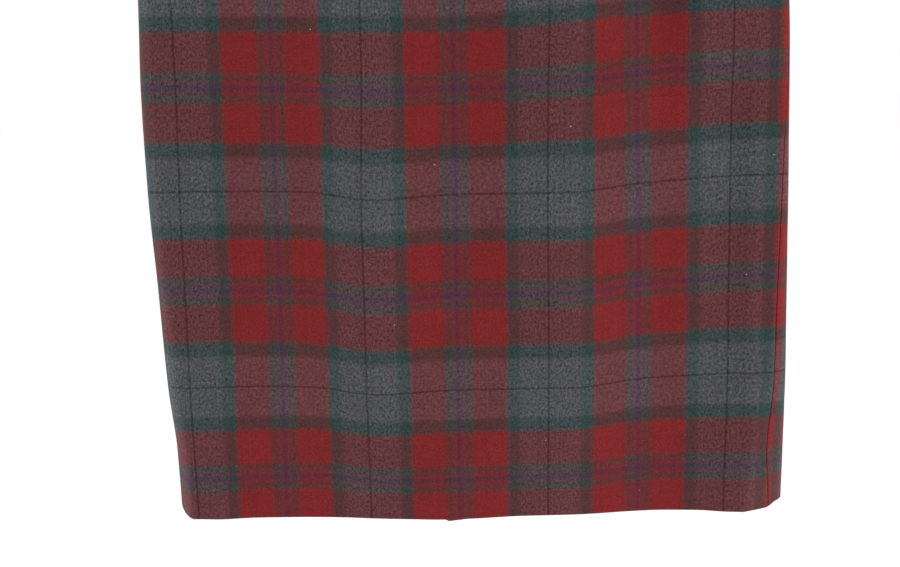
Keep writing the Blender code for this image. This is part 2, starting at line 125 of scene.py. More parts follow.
class Ring:
    """The tube's outline at one level."""

    def __init__(self, down):
        size = {name: float(smooth(down, RINGS["down"], row)) for name, row in RINGS.items()}
        angle = np.linspace(0, math.pi / 2, ROUND_POINTS)
        left_flat = size["left"] + size["left_reach"]
        right_flat = size["right"] - size["right_reach"]
        across = np.linspace(left_flat, right_flat, FLAT_POINTS)
        front = -FRONT_PLANE - folds_at(across, down, FRONT_FOLDS)
        back_left = front[0] + size["left_depth"] + size["left_back"]
        back_right = front[-1] + size["right_depth"] + size["right_back"]
        back = np.linspace(back_left, back_right, FLAT_POINTS) + folds_at(across, down, BACK_FOLDS)
        left_out = size["left_reach"] * np.cos(angle) ** (2 / size["left_turn"])
        right_out = size["right_reach"] * np.cos(angle) ** (2 / size["right_turn"])
        inward = 1 - np.sin(angle)
        round_left = left_flat - size["left_reach"] * np.cos(angle)
        round_right = right_flat + size["right_reach"] * np.cos(angle)
        pieces = (
            (left_flat - left_out, front[0] + size["left_depth"] * inward),
            (across[1:-1], front[1:-1]),
            ((right_flat + right_out)[::-1], (front[-1] + size["right_depth"] * inward)[::-1]),
            (round_right, back[-1] - size["right_back"] * inward),
            (across[-2:0:-1], back[-2:0:-1]),
            (round_left[::-1], (back[0] - size["left_back"] * inward)[::-1]),
        )
        points = np.column_stack([np.concatenate([piece[axis] for piece in pieces]) for axis in (0, 1)])
        step = np.hypot(*np.diff(points, axis=0).T)
        self.points = points[np.concatenate([[True], step > 1e-6])]
        self.run = np.concatenate([[0], np.cumsum(np.hypot(*np.diff(self.points, axis=0).T))])
        self.round = self.run[-1]
        centre = len(angle) - 1 + (size["middle"] - left_flat) / (across[1] - across[0])
        self.start = float(np.interp(centre, np.arange(len(self.run)), self.run))
        self.left_seam = size["left_seam"]
        self.right_seam = size["right_seam"]
        self.centre_back = self.round / 2

    def at(self, cloth):
        place = (self.start + cloth) % self.round
        return np.column_stack([np.interp(place, self.run, self.points[:, axis]) for axis in (0, 1)])

    def outward(self, cloth):
        ahead = self.at(cloth + NORMAL_REACH) - self.at(cloth - NORMAL_REACH)
        ahead /= np.hypot(*ahead.T)[:, None]
        return np.column_stack([ahead[:, 1], -ahead[:, 0]])

    def offset(self, cloth, out):
        cloth = np.atleast_1d(np.asarray(cloth, float))
        out = np.broadcast_to(np.asarray(out, float), cloth.shape)
        return self.at(cloth) + self.outward(cloth) * out[:, None]


# The cloth is a brushed woollen twill, woven two over two under from dyed yarns. Its plaid is
# charted here thread by thread: half a repeat runs from the fine black line to the blue line, and
# is mirrored at both. A fulled, matt surface gives it soft edges and a grey melange.

WARP_HALF = 67.5
WARP_SETT = (
    ("grey", 22.6), ("dark green", 9.5), ("red", 25.9), ("green", 4.6), ("wine", 3.2), ("blue", 1.7),
)
WEFT_HALF = 72.65
WEFT_PIN = 392.7
WEFT_SETT = (
    ("pale grey", 23.6), ("dark green", 11.2), ("red", 27.4), ("green", 5.3), ("wine", 3.25), ("blue", 1.9),
)
# The black line is three threads wide. In the warp it lies left of the middle of its grey stripe.
PIN_HALF = 0.75
PIN_ASIDE = 1.75
YARN = {
    "black": "#161416",
    "grey": "#3b3c3f",
    "pale grey": "#424346",
    "dark green": "#233230",
    "green": "#372c29",
    "red": "#64191b",
    "wine": "#4c242b",
    "blue": "#392032",
}
# How much of a melange of lighter and darker fibres each yarn shows.
MELANGE = {
    "grey": 1.0, "pale grey": 0.75, "dark green": 0.55, "green": 0.5, "red": 0.3, "wine": 0.35, "blue": 0.4,
}
# Real thread spacing: four threads make one twill rib, 1.9 mm across.
THREAD = 0.48
# How far the brushed nap carries the fibres of one stripe over the next.
NAP_REACH = 2.3
# Two yarns blend over less than half the width of the narrower stripe.
BLEND_SHARE = 0.45


def linear(hex_colour):
    """An sRGB hex colour as Blender's linear red, green, blue and alpha."""
    channels = [int(hex_colour[place:place + 2], 16) / 255 for place in (1, 3, 5)]
    return (*[c / 12.92 if c <= 0.04045 else ((c + 0.055) / 1.055) ** 2.4 for c in channels], 1.0)


def feed(tree, node, values):
    """Gives each input of a node its number, or the node or output that feeds it."""
    for place, value in values.items():
        if isinstance(value, bpy.types.Node):
            value = value.outputs[0]
        if isinstance(value, bpy.types.NodeSocket):
            tree.links.new(value, node.inputs[place])
        else:
            node.inputs[place].default_value = value


def add(tree, kind, values=None, **settings):
    """Adds a node with its settings, values and links."""
    made = tree.nodes.new(kind)
    for name, value in settings.items():
        setattr(made, name, value)
    feed(tree, made, values or {})
    return made


def new_material(name):
    material = bpy.data.materials.new(name)
    material.use_nodes = True
    return material, material.node_tree, material.node_tree.nodes["Principled BSDF"]


def chart(tree, place, sett, reach):
    """Reads the yarn at this place in half a repeat, with its melange as the alpha."""
    half = sum(width for yarn, width in sett)
    colours = [(*linear(YARN[yarn])[:3], MELANGE[yarn]) for yarn, width in sett]
    marks = [(0.0, colours[0])]
    edge = 0.0
    for number in range(len(sett) - 1):
        edge += sett[number][1]
        blend = min(reach, BLEND_SHARE * sett[number][1], BLEND_SHARE * sett[number + 1][1])
        marks += [(edge - blend, colours[number]), (edge + blend, colours[number + 1])]
    lookup = add(tree, "ShaderNodeValToRGB", {0: place})
    stops = lookup.color_ramp.elements
    stops[1].position = 1.0
    stops[1].color = colours[-1]
    stops[0].color = colours[0]
    for at, colour in marks[1:]:
        stop = stops.new(at / half)
        stop.color = colour
    return lookup


def woollen_plaid():
    """Brushed woollen twill: matt, with a soft bloom where it turns away."""
    material, tree, shader = new_material("brushed_woollen_twill")
    cloth_map = add(tree, "ShaderNodeUVMap", uv_map="cloth")
    in_mm = add(tree, "ShaderNodeVectorMath", {0: cloth_map, 1: (1000, 1000, 1000)}, operation="MULTIPLY")
    # Fulling moves the threads a little off their straight lines.
    wander = add(tree, "ShaderNodeTexNoise", {
        "Vector": in_mm, "Scale": 0.45, "Detail": 2.0,
    }, noise_dimensions="2D")
    centred = add(tree, "ShaderNodeVectorMath", {
        0: wander.outputs["Color"], 1: (0.5, 0.5, 0.5),
    }, operation="SUBTRACT")
    shift = add(tree, "ShaderNodeVectorMath", {0: centred, 1: (1.1, 1.1, 0.0)}, operation="MULTIPLY")
    moved = add(tree, "ShaderNodeVectorMath", {0: in_mm, 1: shift}, operation="ADD")
    threads = add(tree, "ShaderNodeVectorMath", {0: moved, 1: (THREAD, THREAD, 1)}, operation="DIVIDE")
    number = add(tree, "ShaderNodeVectorMath", {0: threads}, operation="FLOOR")
    count = add(tree, "ShaderNodeSeparateXYZ", {0: number})
    place = add(tree, "ShaderNodeSeparateXYZ", {0: moved})

    yarns = []
    nap = []
    for axis, half, pin, aside, shows, stretch, sett in (
        ("X", WARP_HALF, WARP_HALF, -PIN_ASIDE, (0.95, 0.75), (1.4, 0.95, 1.0), WARP_SETT),
        ("Y", WEFT_HALF, WEFT_PIN, 0.0, (0.95, 0.65), (1.0, 1.0, 1.0), WEFT_SETT),
    ):
        # Flecks are drawn 1 to 3 mm, coarser than real, as that is what it takes for them to show.
        # The warp's are longer along it, as the cloth is brushed that way.
        along = add(tree, "ShaderNodeVectorMath", {0: in_mm, 1: stretch}, operation="MULTIPLY")
        fleck = add(tree, "ShaderNodeTexNoise", {
            "Vector": along, "Scale": 0.45, "Detail": 3.0, "Roughness": 0.75,
        }, noise_dimensions="2D")
        spread = add(tree, "ShaderNodeMapRange", {
            "Value": fleck.outputs["Fac"], "From Min": 0.3, "From Max": 0.7, "To Min": 0.1, "To Max": 1.95,
        })
        thread_tone = add(tree, "ShaderNodeTexWhiteNoise", {"W": count.outputs[axis]}, noise_dimensions="1D")
        tone = add(tree, "ShaderNodeMapRange", {
            "Value": thread_tone.outputs["Value"], "To Min": 0.9, "To Max": 1.1,
        })
        middle = add(tree, "ShaderNodeMath", {
            0: count.outputs[axis], 1: THREAD, 2: THREAD / 2 - pin,
        }, operation="MULTIPLY_ADD")
        level = add(tree, "ShaderNodeMath", {0: place.outputs[axis], 1: pin}, operation="SUBTRACT")
        off_line = add(tree, "ShaderNodeMath", {0: level, 1: aside}, operation="SUBTRACT")
        away = add(tree, "ShaderNodeMath", {0: off_line, 1: half}, operation="PINGPONG")
        # The black line is weaker where pale fibres lie over it.
        black = add(tree, "ShaderNodeMapRange", {
            "Value": away, "From Min": PIN_HALF + 0.1, "From Max": PIN_HALF - 0.1, "To Max": 1.0,
        })
        dotted = add(tree, "ShaderNodeMapRange", {
            "Value": fleck.outputs["Fac"],
            "From Min": 0.35, "From Max": 0.65, "To Min": shows[0], "To Max": shows[1],
        })
        line = add(tree, "ShaderNodeMath", {0: black, 1: dotted}, operation="MULTIPLY")
        for at, reach, layer in ((middle, 0.02, yarns), (level, NAP_REACH, nap)):
            mirrored = add(tree, "ShaderNodeMath", {0: at, 1: half}, operation="PINGPONG")
            share = add(tree, "ShaderNodeMath", {0: mirrored, 1: half}, operation="DIVIDE")
            yarn = chart(tree, share, sett, reach)
            melange = add(tree, "ShaderNodeMix", {
                "Factor": yarn.outputs["Alpha"], "A": 1.0, "B": spread,
            }, data_type="FLOAT")
            strength = add(tree, "ShaderNodeMath", {0: melange, 1: tone}, operation="MULTIPLY")
            spun = add(tree, "ShaderNodeVectorMath", {
                0: yarn.outputs["Color"], "Scale": strength,
            }, operation="SCALE")
            lined = add(tree, "ShaderNodeMix", {
                "Factor": line, 6: spun, 7: linear(YARN["black"]),
            }, data_type="RGBA")
            layer.append(lined.outputs[2])

    diagonal = add(tree, "ShaderNodeMath", {0: count.outputs["X"], 1: count.outputs["Y"]}, operation="ADD")
    step = add(tree, "ShaderNodeMath", {0: diagonal, 1: 4.0}, operation="FLOORED_MODULO")
    weft_over = add(tree, "ShaderNodeMath", {0: step, 1: 1.5}, operation="GREATER_THAN")
    woven = add(tree, "ShaderNodeMix", {"Factor": weft_over, 6: yarns[0], 7: yarns[1]}, data_type="RGBA")
    # Brushed fibres of both yarns lie over the weave and darken each other.
    crossed = add(tree, "ShaderNodeVectorMath", {0: nap[0], 1: nap[1]}, operation="MULTIPLY")
    fibres = add(tree, "ShaderNodeGamma", {"Color": crossed.outputs["Vector"], "Gamma": 0.5})
    napped = add(tree, "ShaderNodeMix", {"Factor": 0.74, 6: woven.outputs[2], 7: fibres}, data_type="RGBA")
    # Painted shade darkens the hollows between twill ribs and the low places of the unevenly lying nap.
    rib_sum = add(tree, "ShaderNodeMath", {0: place.outputs["X"], 1: place.outputs["Y"]}, operation="ADD")
    rib_turn = add(tree, "ShaderNodeMath", {0: rib_sum, 1: math.pi / 2 / THREAD}, operation="MULTIPLY")
    rib = add(tree, "ShaderNodeMath", {0: rib_turn}, operation="SINE")
    fluff = add(tree, "ShaderNodeTexNoise", {
        "Vector": in_mm, "Scale": 0.95, "Detail": 2.0, "Roughness": 0.7,
    }, noise_dimensions="2D")
    height = add(tree, "ShaderNodeMath", {0: rib, 1: 0.1, 2: fluff.outputs["Fac"]}, operation="MULTIPLY_ADD")
    # Painted shade: the colour is up to a fifth darker where the ribs' and nap's height is low, and lighter
    # where it is high.
    painted_hollow_shade = add(tree, "ShaderNodeMapRange", {
        "Value": height, "From Min": 0.3, "From Max": 0.7, "To Min": 0.8, "To Max": 1.2,
    })
    cloud = add(tree, "ShaderNodeTexNoise", {
        "Vector": in_mm, "Scale": 0.03, "Detail": 2.0,
    }, noise_dimensions="2D")
    worn = add(tree, "ShaderNodeMapRange", {"Value": cloud.outputs["Fac"], "To Min": 0.9, "To Max": 1.1})
    shade = add(tree, "ShaderNodeMath", {0: painted_hollow_shade, 1: worn}, operation="MULTIPLY")
    shaded = add(tree, "ShaderNodeVectorMath", {0: napped.outputs[2], "Scale": shade}, operation="SCALE")
    # Blue and reddish fibres gather here and there in the melange.
    gathered = add(tree, "ShaderNodeTexNoise", {
        "Vector": in_mm, "Scale": 0.14, "Detail": 2.0, "Roughness": 0.6,
    }, noise_dimensions="2D")
    tint = add(tree, "ShaderNodeMapRange", {
        "Vector": gathered.outputs["Color"], 9: (0.86,) * 3, 10: (1.14,) * 3,
    }, data_type="FLOAT_VECTOR")
    tinted = add(tree, "ShaderNodeVectorMath", {0: shaded, 1: tint.outputs["Vector"]}, operation="MULTIPLY")
    # A speck of pale lint clings to the cloth about every 150 mm. It is 0.8 mm wide.
    lint = add(tree, "ShaderNodeTexVoronoi", {"Vector": in_mm, "Scale": 1 / 150}, voronoi_dimensions="2D")
    speck = add(tree, "ShaderNodeMath", {0: lint.outputs["Distance"], 1: 0.4 / 150}, operation="LESS_THAN")
    linted = add(tree, "ShaderNodeMix", {"Factor": speck, 6: tinted, 7: linear("#8c8684")}, data_type="RGBA")
    # Twill ribs and the nap's fibres stand up about a tenth of a millimetre.
    bump = add(tree, "ShaderNodeBump", {"Height": height, "Strength": 0.5, "Distance": 0.0004})
    feed(tree, shader, {
        "Base Color": linted.outputs[2], "Normal": bump, "Roughness": 0.95, "IOR": 1.54,
        "Specular IOR Level": 0.1, "Sheen Weight": 0.05, "Sheen Roughness": 0.5,
        "Sheen Tint": linear("#c8c4c6"),
    })
    return material


plaid = woollen_plaid()


# The front is one panel from side seam to side seam, with a dart below the waistband on each side
# and a hem turned up 40 mm. Its plaid hangs a little off straight, so its lines lie where the
# cloth has eased. The panels are sewn right side to right side, which leaves a groove at a seam.

BAND_HEIGHT = 32.0
HEM_TURN_UP = 40.0
HEM_EDGE = 1.6
SEAM_ROUND = 0.8
HEM_LIFT = 6.0
HEM_LIFT_RISE = 65.0
THINNEST = 0.3
# Sewn panels almost touch. Where they only lap, the gap is the CAD's.
SEWN_GAP = 0.08
NEAR_SEAM = (0.0, 0.2, 0.5, 0.9, 1.6, 3.0)
# Rows of cloth down a panel, closest at its top, at the turned-up hem's edge and at the hem's fold.
PANEL_ROWS = np.concatenate([
    (32.3, 33.1, 34.5), np.arange(38, 596, 3.6), (598.4, 599.1, 599.6, 600.0), np.arange(603, 635, 3.2),
    (636.5, 637.7, 638.5, 639.1, 639.5, 639.8, 639.95, 640.0),
])

# How far the plaid has eased out of straight as it hangs, across the front from left to right. Its
# stripes are drawn in towards the soft fold. Its rows sag beside the fold and rise to the seams.
STRIPE_EASE = {
    "across": (-220, -185, -130, -60, -20, 90, 130, 220, 238),
    "waist": (7, 6, 6.5, 5, 0, 2, -4.5, -1.5, -1.5),
    "top": (8.5, 6, 5.5, 4.5, 0, 0.5, -5, -1.5, -1.5),
    "middle": (5.5, 4.5, 4.5, 1, -0.5, -0.5, -2.5, -2, -2),
    "hem": (7.5, 4.5, 3, 1, -1, -2, -3.5, -5.5, -2.5),
}
ROW_EASE = {
    "across": (-220, -110, -55, 0, 84, 135, 239),
    "waist": (-2.5, -0.5, 0.5, 1.5, -4, -7, -10),
    "top": (-1.5, 1.5, 3.5, 2.5, -0.5, -4.5, -9.5),
    "middle": (-0.5, 0.5, 7, 5, 5, 1, -3),
    "hem": (-2.5, -4.5, -1.5, -2.5, -2.5, -6, -7),
}
EASE_WAIST = (262, 345)
EASE_TOP = 300
EASE_MIDDLE = (420, 490)


def eased(cloth, down, table):
    """Reads an easing table for a grid of places on the cloth."""
    levels = ("waist", "top", "middle", "hem")
    waist, top, middle, hem = (smooth(cloth, table["across"], table[level]) for level in levels)
    to_top = ramp(down, *EASE_WAIST)
    to_middle = ramp(down, EASE_TOP, EASE_MIDDLE[0])
    to_hem = ramp(down, EASE_MIDDLE[1], LENGTH)
    upper = waist * (1 - to_top) + top * to_top
    return upper * (1 - to_middle) + middle * (to_middle - to_hem) + hem * to_hem


def spread(lines, spacing):
    """Columns of a panel between lines that run down it, close together next to each line."""
    columns = []
    edge = NEAR_SEAM[-1]
    for near, far in zip(lines, lines[1:]):
        count = round(float(np.max(far - near)) / spacing)
        columns += [near + step for step in NEAR_SEAM]
        columns += [near + edge + (far - near - 2 * edge) * share for share in np.linspace(0, 1, count)[1:-1]]
        columns += [far - step for step in NEAR_SEAM[:0:-1]]
    columns.append(lines[-1])
    return np.column_stack(columns)


def tuck(distance, radius=SEAM_ROUND):
    """How far a face has rolled inwards at this distance from a seam, or from the hem's fold."""
    rest = np.clip(radius - np.abs(distance), 0, radius)
    return radius - np.sqrt(radius**2 - rest**2)


def cloth_thickness(down):
    """One layer, and two where the hem is turned up inside, with a rolled edge between them."""
    return CLOTH * (1 + ramp(down, LENGTH - HEM_TURN_UP - HEM_EDGE, LENGTH - HEM_TURN_UP))


def hem_lift(share, down):
    """How far the hem has been drawn up beside a side seam."""
    return HEM_LIFT * share * ramp(down, LENGTH - HEM_LIFT_RISE, LENGTH)


def sheet_mesh(name, material, outer, inner, place, kept=None, mirror_from=None):
    """A closed thin shell between two grids of points, with the cloth's own place as its UV map."""
    rows, columns = outer.shape[:2]
    cells = [(r, c) for r in range(rows - 1) for c in range(columns - 1) if kept is None or kept[r, c]]
    side = rows * columns
    faces = []
    uvs = []
    rim = {}
    for r, c in cells:
        corners = [(r, c), (r, c + 1), (r + 1, c + 1), (r + 1, c)]
        faces.append([row * columns + column for row, column in corners])
        uvs += [place[corner] for corner in corners]
        faces.append([side + row * columns + column for row, column in reversed(corners)])
        for corner in reversed(corners):
            u, v = place[corner]
            turned = mirror_from is not None and r >= mirror_from
            uvs.append((u, 2 * LENGTH * MM - v) if turned else (u, v))
        for start, end in zip(corners, corners[1:] + corners[:1]):
            if rim.pop((end, start), None) is None:
                rim[start, end] = True
    for start, end in rim:
        a = start[0] * columns + start[1]
        b = end[0] * columns + end[1]
        faces.append([b, a, side + a, side + b])
        uvs += [place[end], place[start], place[start], place[end]]
    mesh = bpy.data.meshes.new(name)
    points = np.concatenate([outer.reshape(-1, 3), inner.reshape(-1, 3)]) * MM
    mesh.from_pydata(points.tolist(), [], faces)
    cloth_map = mesh.uv_layers.new(name="cloth")
    cloth_map.uv.foreach_set("vector", np.asarray(uvs, np.float32).ravel())
    loose = bmesh.new()
    loose.from_mesh(mesh)
    bmesh.ops.delete(loose, geom=[v for v in loose.verts if not v.link_faces], context="VERTS")
    loose.to_mesh(mesh)
    loose.free()
    mesh.shade_smooth()
    mesh.set_sharp_from_angle(angle=math.radians(60))
    mesh.materials.append(material)
    made = bpy.data.objects.new(name, mesh)
    bpy.context.scene.collection.objects.link(made)
    return made


def lay_panel(name, rows, cloth, sink, lift, place, kept=None, slip=0.0):
    """Lays a grid of cloth on the tube's rings, sunk below the outer face and lifted along it."""
    outer = np.zeros((*cloth.shape, 3))
    inner = np.zeros((*cloth.shape, 3))
    for number, down in enumerate(rows):
        ring = Ring(down)
        roll = tuck(LENGTH - down, CLOTH)
        face = -sink[number] - roll
        back = -np.broadcast_to(cloth_thickness(down), face.shape) + roll
        back = back - np.where(sink[number] > SEAM_ROUND, sink[number], 0)
        outer[number, :, :2] = ring.offset(cloth[number], face)
        inner[number, :, :2] = ring.offset(cloth[number], np.minimum(back, face - THINNEST))
        outer[number, :, 2] = -down + lift[number]
    inner[:, :, 2] = outer[:, :, 2] - slip
    turn_row = int(np.searchsorted(rows, LENGTH - HEM_TURN_UP))
    return sheet_mesh(name, plaid, outer, inner, place, kept, turn_row)


FRONT_SPACING = 3.4
FRONT_DART = 78.0
FRONT_DART_LENGTH = 95.0
FRONT_DART_INTAKE = 22.0
FRONT_DART_DRIFT = 6.0
FRONT_LIFT_REACH = 26.0
DARTS_DRIFT = (BAND_HEIGHT, 200)
DART_GROOVE = 0.6
DART_FADE = 4
DART_BLEND = 0.4
HEM_SLIP = 1.7
HEM_SLIP_START = -13.0
HEM_SLIP_END = 6.0
HEM_SLIP_RISE = 8.0


def dart_at(down, length):
    """The share of a dart's intake that is sewn away at each level."""
    return np.clip(1 - (down - BAND_HEIGHT) / length, 0, 1)


def dart_groove(distance, dart_open):
    """How far the face has rolled in at a dart, which fades out at its point."""
    return tuck(distance) * np.minimum(1, DART_FADE * dart_open) * DART_GROOVE


def seams(rows):
    """How far the left seam, the right seam and the centre back lie round the tube at each row."""
    rings = [Ring(down) for down in rows]
    return np.array([(ring.left_seam, ring.right_seam, ring.centre_back) for ring in rings]).T


left_side, right_side, centre = seams(PANEL_ROWS)
left_seam = left_side - SEWN_GAP / 2
right_seam = right_side - SEWN_GAP / 2
front_dart = FRONT_DART * left_seam / left_seam.max() + FRONT_DART_DRIFT * ramp(PANEL_ROWS, *DARTS_DRIFT)
front_cloth = spread([-left_seam, -front_dart, front_dart, right_seam], FRONT_SPACING)
down_grid = np.broadcast_to(PANEL_ROWS[:, None], front_cloth.shape)
dart_open = dart_at(down_grid, FRONT_DART_LENGTH)
from_dart = np.abs(np.abs(front_cloth) - front_dart[:, None])
front_sink = tuck(left_seam[:, None] + front_cloth) + tuck(right_seam[:, None] - front_cloth)
front_sink = front_sink + dart_groove(from_dart, dart_open)
past_dart = np.abs(front_cloth) - front_dart[:, None]
beyond_dart = np.sign(front_cloth) * ramp(past_dart, -DART_BLEND, DART_BLEND)
front_u = front_cloth + beyond_dart * FRONT_DART_INTAKE * dart_open
front_u = front_u - eased(front_cloth, down_grid, STRIPE_EASE)
front_v = down_grid - eased(front_cloth, down_grid, ROW_EASE)
front_lift = hem_lift(1 - ramp(left_seam[:, None] + front_cloth, 0, FRONT_LIFT_REACH), down_grid)
# Near the centre front, the hem's turned-up layer has slipped and shows below the face.
slip_share = np.clip((HEM_SLIP_END - front_cloth) / (HEM_SLIP_END - HEM_SLIP_START), 0, 1)
slipped = slip_share * (front_cloth > HEM_SLIP_START)
front_slip = HEM_SLIP * slipped * ramp(down_grid, LENGTH - HEM_SLIP_RISE, LENGTH)
front = lay_panel(
    "front_cloth", PANEL_ROWS, front_cloth, front_sink, front_lift,
    np.dstack([front_u, front_v]) * MM, slip=front_slip,
)
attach(front, "skirt")
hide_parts("front_panel")


# The back is two panels, joined by a seam at the centre back. A zip opens it at the waist, and a
# vent opens it at the hem, where the right panel laps over the left one's extension.

BACK_SPACING = 3.6
BACK_SEAM_U = 242.5
BACK_EASE_REACH = 120.0
ZIP_SLIT = 4.6
ZIP_BOTTOM = 215.0
ZIP_CLOSES = (ZIP_BOTTOM - 1.5, ZIP_BOTTOM + 3.5)
VENT_TOP = 470.0
VENT_LAP = 40.0
VENT_STEP = 6.0
VENT_OPENS = 18.0
BACK_DART_SHARE = 0.4
BACK_DART_LENGTH = 125.0
BACK_DART_INTAKE = 28.0
BACK_DART_DRIFT = 4.0
BACK_LIFT_REACH = 60.0
LEFT_LIFT_SHARE = 0.5
LEFT_LIFT_RISES = (-2, 10)
LEFT_LIFT_FADES = (30, 120)
# Towards the hem, a back panel's stripes slant by this much beside its side seam.
BACK_STRIPE_SLANT = 7.5
BACK_SLANT_LEVELS = (500, LENGTH + 40)


def half_slit(down):
    """Half the gap at the centre back, which closes to a seam below the zip."""
    closing = ramp(down, *ZIP_CLOSES)
    return ZIP_SLIT / 2 * (1 - closing) + SEWN_GAP / 2 * closing


def back_place(from_side, past_dart, dart_open, down, side):
    """The plaid's place on a back panel, which matches the front's rows at the side seam."""
    beyond = ramp(past_dart, -DART_BLEND, DART_BLEND)
    near_seam = 1 - ramp(from_side, 0, BACK_EASE_REACH)
    slant = BACK_STRIPE_SLANT * ramp(down, *BACK_SLANT_LEVELS) * near_seam
    u = BACK_SEAM_U - slant - from_side - beyond * BACK_DART_INTAKE * dart_open
    v = down - eased(side * BACK_SEAM_U, down, ROW_EASE) * near_seam
    return np.dstack([u * side, v]) * MM


back_half = centre - left_side - SEWN_GAP / 2
back_edge = back_half - half_slit(PANEL_ROWS)
back_dart = back_half * (1 - BACK_DART_SHARE) + BACK_DART_DRIFT * ramp(PANEL_ROWS, *DARTS_DRIFT)

from_side = spread([0 * back_half, back_dart, back_edge], BACK_SPACING)
down_grid = np.broadcast_to(PANEL_ROWS[:, None], from_side.shape)
dart_open = dart_at(down_grid, BACK_DART_LENGTH)
past_dart = from_side - back_dart[:, None]
right_sink = tuck(from_side) + tuck(back_edge[:, None] - from_side)
right_sink = right_sink + dart_groove(past_dart, dart_open)
right_cloth = (2 * centre - left_seam - SEWN_GAP)[:, None] - from_side
right_lift = hem_lift(1 - ramp(from_side, 0, BACK_LIFT_REACH), down_grid)
back_right = lay_panel(
    "back_right_cloth", PANEL_ROWS, right_cloth, right_sink, right_lift,
    back_place(from_side, past_dart, dart_open, down_grid, -1),
)
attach(back_right, "skirt")
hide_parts("back_panel_right")

# A row at the vent's top takes the place of those within 1 mm of it.
VENT_ROWS = np.unique(np.concatenate([PANEL_ROWS, (VENT_TOP,)]))
VENT_ROWS = VENT_ROWS[(np.abs(VENT_ROWS - VENT_TOP) < 0.01) | (np.abs(VENT_ROWS - VENT_TOP) > 1.0)]
_, vent_side, vent_centre = seams(VENT_ROWS)
vent_half = vent_centre - vent_side - SEWN_GAP / 2
vent_edge = vent_half - half_slit(VENT_ROWS)
vent_dart = vent_half * (1 - BACK_DART_SHARE) + BACK_DART_DRIFT * ramp(VENT_ROWS, *DARTS_DRIFT)
panel_part = spread([0 * vent_half, vent_dart, vent_edge - VENT_STEP], BACK_SPACING)
step_part = [vent_edge - VENT_STEP * (1 - share) - SEWN_GAP * share for share in (0.25, 0.5, 0.75, 1.0)]
lap_part = [vent_edge + VENT_LAP * share for share in np.linspace(0.04, 1, 14)]
from_side = np.column_stack([panel_part, *step_part, *lap_part])
fold = panel_part.shape[1] - 1
down_grid = np.broadcast_to(VENT_ROWS[:, None], from_side.shape)
dart_open = dart_at(down_grid, BACK_DART_LENGTH)
past_dart = from_side - vent_dart[:, None]
opening = ramp(down_grid, VENT_TOP - VENT_OPENS, VENT_TOP)
into_step = ramp(from_side - (vent_edge - VENT_STEP)[:, None], 0, VENT_STEP - SEWN_GAP)
step_sink = (cloth_thickness(down_grid) + SEAM_GAP) * opening * into_step
seam_sink = np.where(from_side <= vent_edge[:, None], tuck(vent_edge[:, None] - SEWN_GAP - from_side), 0)
left_sink = tuck(from_side) + step_sink + seam_sink * (1 - opening)
left_sink = left_sink + dart_groove(past_dart, dart_open)
left_cloth = vent_side[:, None] + SEWN_GAP / 2 + from_side
# Here the hem rises half as far, past the seam and round the side, and not in front of it.
round_side = ramp(from_side, *LEFT_LIFT_RISES) * (1 - ramp(from_side, *LEFT_LIFT_FADES))
left_lift = hem_lift(LEFT_LIFT_SHARE * round_side, down_grid)
seam_column = fold + len(step_part)
kept = np.ones((len(VENT_ROWS) - 1, from_side.shape[1] - 1), bool)
kept[:int(np.searchsorted(VENT_ROWS, VENT_TOP - 0.01)), seam_column:] = False
back_left = lay_panel(
    "back_left_cloth", VENT_ROWS, left_cloth, left_sink, left_lift,
    back_place(from_side, past_dart, dart_open, down_grid, 1), kept,
)
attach(back_left, "skirt")
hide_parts("back_panel_left")


# The waistband is one strip of the same cloth, folded along its top edge. Its right end laps over
# the left one at the centre back, where the button closes it.

BAND_PROUD = 0.6
BAND_THICKNESS = 3.0
BAND_LAP = 28.0
BAND_LAYER = 1.35
BAND_COLUMNS = 250
LAP_STEP = 9.0

band_ring = Ring(BAND_HEIGHT / 2)
band_length = band_ring.round + BAND_LAP
band_start = band_ring.centre_back - ZIP_SLIT / 2
ends = np.array([0.0, 0.3, 0.8, 1.5])
band_along = np.concatenate([ends, np.linspace(3, band_length - 3, BAND_COLUMNS), band_length - ends[::-1]])
face = BAND_PROUD
inside = BAND_PROUD - BAND_THICKNESS
turn = np.linspace(0, math.pi, 9)
middle = (face + inside) / 2
half_band = BAND_THICKNESS / 2
down_face = np.array([32.0, 31.8, 31.3, 30.3, 27.0, 22.0, 17.0, 12.0, 7.0, 3.5])
roll = np.array([0.75, 0.35, 0.1, 0, 0, 0, 0, 0, 0, 0])
outer_profile = [(face - r, d) for r, d in zip(roll, down_face)]
outer_profile += [(middle + half_band * math.cos(a), half_band - half_band * math.sin(a)) for a in turn]
outer_profile += [(inside + r, d) for r, d in zip(roll[::-1], down_face[::-1])]
hollow = half_band - BAND_LAYER
inner_profile = [(middle + hollow, d) for d in down_face]
inner_profile += [(middle + hollow * math.cos(a), half_band - hollow * math.sin(a)) for a in turn]
inner_profile += [(middle - hollow, d) for d in down_face[::-1]]
lap_start = band_ring.round - LAP_STEP
sink_along = (BAND_THICKNESS + SEAM_GAP) * ramp(band_along, lap_start, band_ring.round - SEAM_GAP)
band_cloth = band_start + band_along


def band_grid(profile):
    """Carries a profile of the folded strip round the waist."""
    grid = np.zeros((len(profile), len(band_along), 3))
    for row, (out, down) in enumerate(profile):
        grid[row, :, :2] = band_ring.offset(band_cloth, out - sink_along)
        grid[row, :, 2] = -down
    return grid


across_band = np.concatenate([[0], np.cumsum(np.hypot(*np.diff(outer_profile, axis=0).T))])
# The strip is cut along a grey stripe, whose black line runs along the middle of its outer face.
band_v = WEFT_PIN - 4 * WEFT_HALF - BAND_HEIGHT / 2 + across_band
band_place = np.dstack(np.broadcast_arrays((band_cloth - band_ring.round)[None, :], band_v[:, None])) * MM
band = sheet_mesh("waistband_cloth", plaid, band_grid(outer_profile), band_grid(inner_profile), band_place)
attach(band, "skirt")
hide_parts("waistband")


